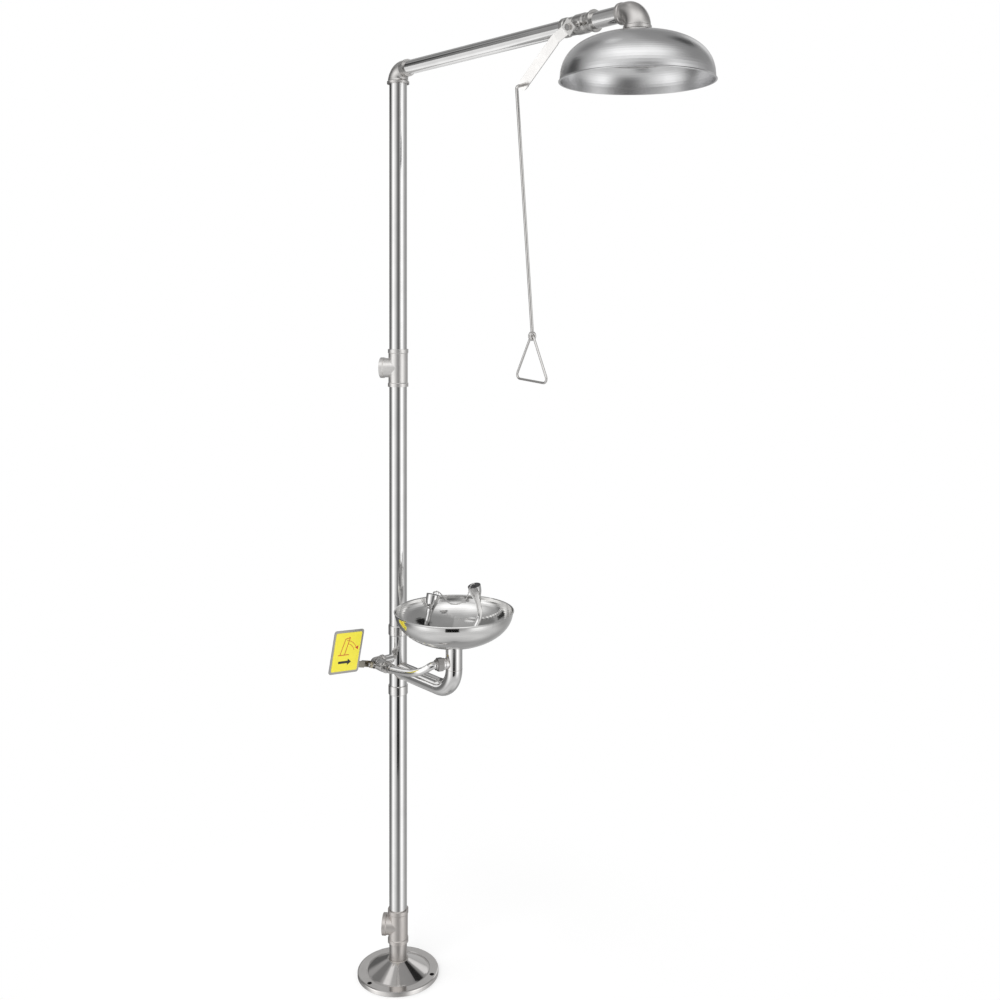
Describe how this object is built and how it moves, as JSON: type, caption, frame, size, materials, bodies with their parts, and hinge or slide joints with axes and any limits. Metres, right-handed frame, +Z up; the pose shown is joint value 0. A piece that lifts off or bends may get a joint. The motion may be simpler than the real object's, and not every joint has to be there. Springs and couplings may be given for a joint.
{
  "type": "combination emergency shower and eyewash station",
  "caption": "Free-standing pipe column with a pull-rod drench shower on an overhead arm and a push-plate eyewash bowl with capped nozzles.",
  "frame": {"origin": "column axis at the underside of the base flange, on the floor", "axes": "+Z up along the column, +X from the column towards the shower head and the bowl, +Y completes a right-handed frame; the push plate is on the -Y side"},
  "size_m": [1.021, 0.3667, 2.1954],
  "materials": {
    "cast_fitting": "matt bead-blasted cast stainless steel",
    "polished_pipe": "polished stainless tube",
    "valve_metal": "machined stainless steel",
    "brushed_strip": "brushed stainless strip",
    "satin_sheet": "satin spun stainless sheet",
    "bowl_sheet": "polished spun stainless sheet",
    "white_seal": "white seal polymer",
    "black_cap": "black moulded plastic",
    "chain_metal": "bright plated ball chain",
    "yellow_label": "printed yellow film"
  },
  "bodies": {
    "frame": {"base_flange": "cast_fitting", "drain_tee": "cast_fitting", "inlet_tee": "cast_fitting", "top_elbow": "cast_fitting", "shower_elbow": "cast_fitting", "supply_elbow": "cast_fitting", "nozzle_tee": "cast_fitting", "base_nipple": "polished_pipe", "lower_column_pipe": "polished_pipe", "column_sleeves": "polished_pipe", "branch_section": "polished_pipe", "blanking_disc": "polished_pipe", "middle_column_pipe": "polished_pipe", "upper_column_pipe": "polished_pipe", "shower_arm_pipe": "polished_pipe", "shower_outlet_nipple": "polished_pipe", "shower_head_nipple": "polished_pipe", "waste_pipe": "polished_pipe", "feed_pipe": "polished_pipe", "inner_supply_tube": "polished_pipe", "nozzle_arms": "polished_pipe", "feed_boss": "polished_pipe", "shower_valve_body": "valve_metal", "shower_valve_end": "valve_metal", "eyewash_valve_body": "valve_metal", "eyewash_valve_end": "valve_metal", "gland_nuts": "valve_metal", "union_nut": "valve_metal", "feed_tube_nut": "valve_metal", "dome_locknut": "valve_metal", "dome_collar": "valve_metal", "nozzle_heads": "valve_metal", "deflector_bridge": "brushed_strip", "deflector_disc": "brushed_strip", "deflector_screws": "brushed_strip", "spray_plates": "brushed_strip", "shower_dome": "satin_sheet", "bowl": "bowl_sheet", "bowl_strainer": "bowl_sheet", "valve_seats": "white_seal", "stem_packings": "white_seal"},
    "shower_lever_arm": {"shower_ball": "valve_metal", "shower_stem": "valve_metal", "shower_lever": "brushed_strip", "lever_hub_plate": "brushed_strip", "shower_stem_nut": "valve_metal"},
    "pull_rod_body": {"pull_rod": "brushed_strip", "rod_nut": "valve_metal"},
    "pull_handle_body": {"pull_handle": "brushed_strip"},
    "eyewash_lever": {"eyewash_ball": "valve_metal", "eyewash_stem": "valve_metal", "eyewash_handle_strap": "brushed_strip", "push_plate": "brushed_strip", "plate_rivets": "brushed_strip", "push_plate_label": "yellow_label", "eyewash_stem_nut": "valve_metal"},
    "nozzle_caps": {"dust_caps": "black_cap", "cap_pins": "chain_metal", "cap_chain": "chain_metal"}
  },
  "joints": [
    {"name": "shower_lever_swing", "type": "hinge", "parent": "frame", "child": "shower_lever_arm", "pos_m": [0.628, 0, 2.173], "axis": [0, -0.9563, -0.2924], "range_deg": [0, 50]},
    {"name": "pull_rod_swing", "type": "hinge", "parent": "shower_lever_arm", "child": "pull_rod_body", "pos_m": [0.4553, -0.005, 2.0741], "axis": [0, -0.9563, -0.2924], "range_deg": [-60, 15]},
    {"name": "pull_handle_swing", "type": "hinge", "parent": "pull_rod_body", "child": "pull_handle_body", "pos_m": [0.4553, 0.021, 1.545], "axis": [1, 0, 0], "range_deg": [-60, 60]},
    {"name": "eyewash_lever_push", "type": "hinge", "parent": "frame", "child": "eyewash_lever", "pos_m": [0.029, -0.065, 0.761], "axis": [0, -0.9703, 0.2419], "range_deg": [0, 90]},
    {"name": "nozzle_caps_lift", "type": "slide", "parent": "frame", "child": "nozzle_caps", "axis": [0, 0, 1], "range_m": [0, 0.06]}
  ],
  "couplings": [
    {"joint": "pull_rod_swing", "follows": "shower_lever_swing", "ratio": -1}
  ]
}
